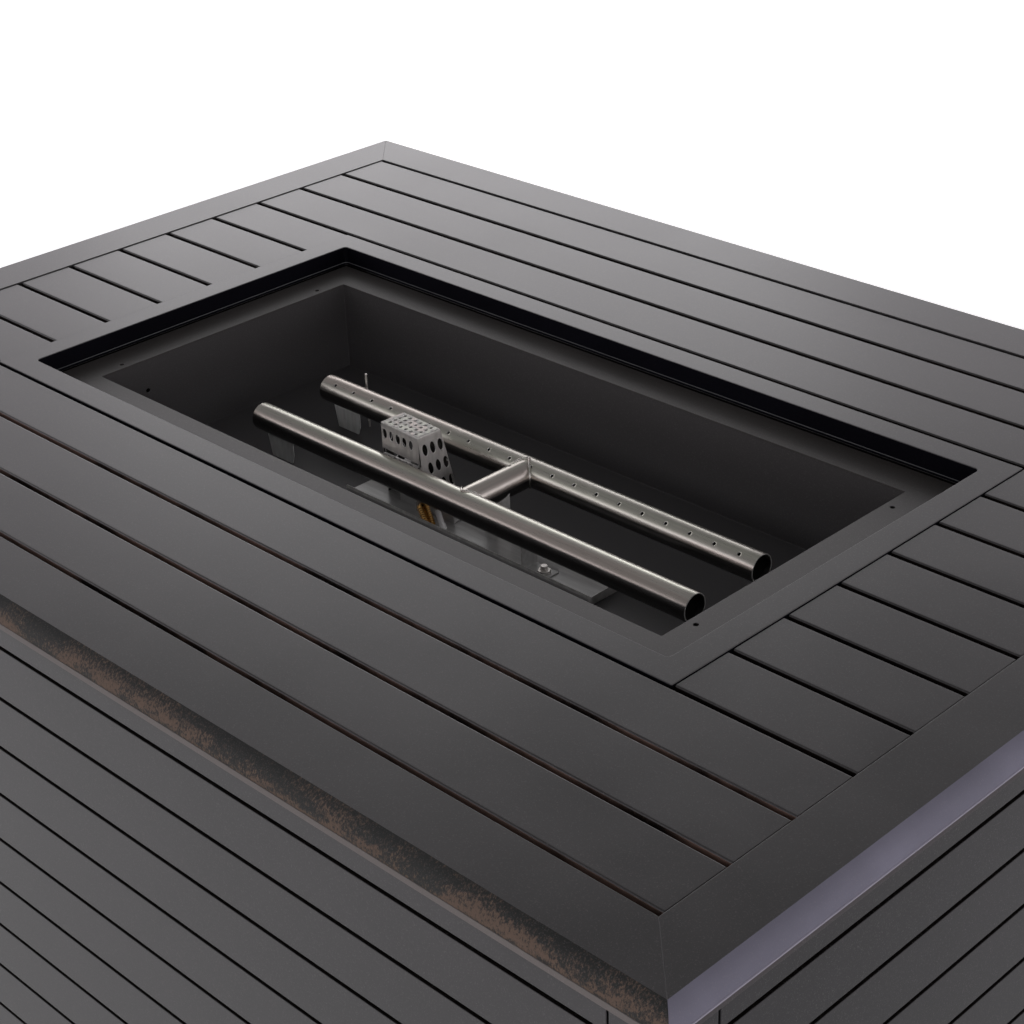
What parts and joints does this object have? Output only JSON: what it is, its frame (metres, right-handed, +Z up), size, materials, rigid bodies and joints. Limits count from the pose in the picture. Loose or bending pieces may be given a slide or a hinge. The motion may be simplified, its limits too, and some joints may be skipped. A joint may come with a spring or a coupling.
{
  "type": "fire pit table",
  "caption": "Rectangular outdoor fire pit table with a slatted metal top, a recessed gas burner pan, a slatted cabinet base, a hinged bottle door and levelling feet.",
  "frame": {"origin": "on the floor under the centre of the top", "axes": "+X along the table, +Z up, +Y out through the door and control side"},
  "size_m": [1.226, 0.908, 0.635],
  "materials": {
    "bronze_coat": "satin dark bronze powder coat with a fine speckle",
    "black_coat": "matte black heat-resistant coat",
    "burner_steel": "stainless steel with light heat tint",
    "zinc_steel": "zinc plated steel",
    "brass": "plain turned brass",
    "ceramic": "white glazed ceramic",
    "black_plastic": "fine-textured black plastic",
    "foot_rubber": "moulded black rubber",
    "bright_cap": "polished cap"
  },
  "bodies": {
    "root": {"air_mixer": "zinc_steel", "base_floor": "black_coat", "base_rails": "bronze_coat", "base_uprights": "bronze_coat", "bottle_stops": "black_coat", "burner_cross_tube": "burner_steel", "burner_feed_pipe": "zinc_steel", "burner_fixings": "burner_steel", "burner_legs": "burner_steel", "burner_mount_plate": "burner_steel", "burner_pan": "black_coat", "burner_surround": "bronze_coat", "burner_tube_back": "burner_steel", "burner_tube_front": "burner_steel", "control_panel": "black_coat", "corner_posts": "bronze_coat", "cross_rails": "bronze_coat", "door_magnet": "black_plastic", "electrode_ceramic": "ceramic", "flame_sensor": "burner_steel", "hinge_fixed_leaves": "bronze_coat", "hose_inlet": "brass", "igniter_battery": "black_plastic", "igniter_housing": "black_plastic", "inlet_coupling": "zinc_steel", "long_slats_back": "bronze_coat", "long_slats_front": "bronze_coat", "pilot_bracket": "burner_steel", "pilot_burner": "burner_steel", "pilot_feed_pipe": "zinc_steel", "pilot_hood": "burner_steel", "pilot_orifice": "brass", "post_plugs": "black_plastic", "short_slats_left": "bronze_coat", "short_slats_right": "bronze_coat", "side_slats_back": "bronze_coat", "side_slats_front": "bronze_coat", "side_slats_left": "bronze_coat", "side_slats_right": "bronze_coat", "spark_electrode": "burner_steel", "top_board_back": "bronze_coat", "top_board_front": "bronze_coat", "top_board_left": "bronze_coat", "top_board_right": "bronze_coat", "tube_end_caps": "burner_steel", "valve_body": "brass"},
    "door": {"door_slats": "bronze_coat", "door_frame": "bronze_coat", "door_strike": "zinc_steel", "door_pull": "black_coat", "hinge_door_leaves": "bronze_coat"},
    "knob_press": {"valve_spring_cup": "zinc_steel"},
    "knob": {"control_knob": "black_plastic", "valve_stem": "zinc_steel"},
    "igniter_cap": {"igniter_button": "bright_cap"},
    "foot_front_left": {"levelling_foot_front_left": "foot_rubber"},
    "foot_front_right": {"levelling_foot_front_right": "foot_rubber"},
    "foot_back_left": {"levelling_foot_back_left": "foot_rubber"},
    "foot_back_right": {"levelling_foot_back_right": "foot_rubber"}
  },
  "joints": [
    {"name": "door_swing", "type": "hinge", "parent": "root", "child": "door", "pos_m": [-0.2015, 0.449, 0.29], "axis": [0, 0, 1], "range_deg": [0, 110]},
    {"name": "knob_push", "type": "slide", "parent": "root", "child": "knob_press", "axis": [0, -1, 0], "range_m": [0, 0.003], "stiffness_N_per_m": 900, "springref_m": -0.002},
    {"name": "knob_turn", "type": "hinge", "parent": "knob_press", "child": "knob", "pos_m": [0.3, 0.43, 0.533], "axis": [0, 1, 0], "range_deg": [0, 210]},
    {"name": "igniter_push", "type": "slide", "parent": "root", "child": "igniter_cap", "axis": [0, -1, 0], "range_m": [0, 0.004], "stiffness_N_per_m": 400, "springref_m": -0.002},
    {"name": "foot_turn_front_left", "type": "hinge", "parent": "root", "child": "foot_front_left", "pos_m": [-0.582, -0.423, 0.01], "axis": [0, 0, 1], "continuous": true},
    {"name": "foot_turn_front_right", "type": "hinge", "parent": "root", "child": "foot_front_right", "pos_m": [0.582, -0.423, 0.01], "axis": [0, 0, 1], "continuous": true},
    {"name": "foot_turn_back_left", "type": "hinge", "parent": "root", "child": "foot_back_left", "pos_m": [-0.582, 0.423, 0.01], "axis": [0, 0, 1], "continuous": true},
    {"name": "foot_turn_back_right", "type": "hinge", "parent": "root", "child": "foot_back_right", "pos_m": [0.582, 0.423, 0.01], "axis": [0, 0, 1], "continuous": true}
  ]
}
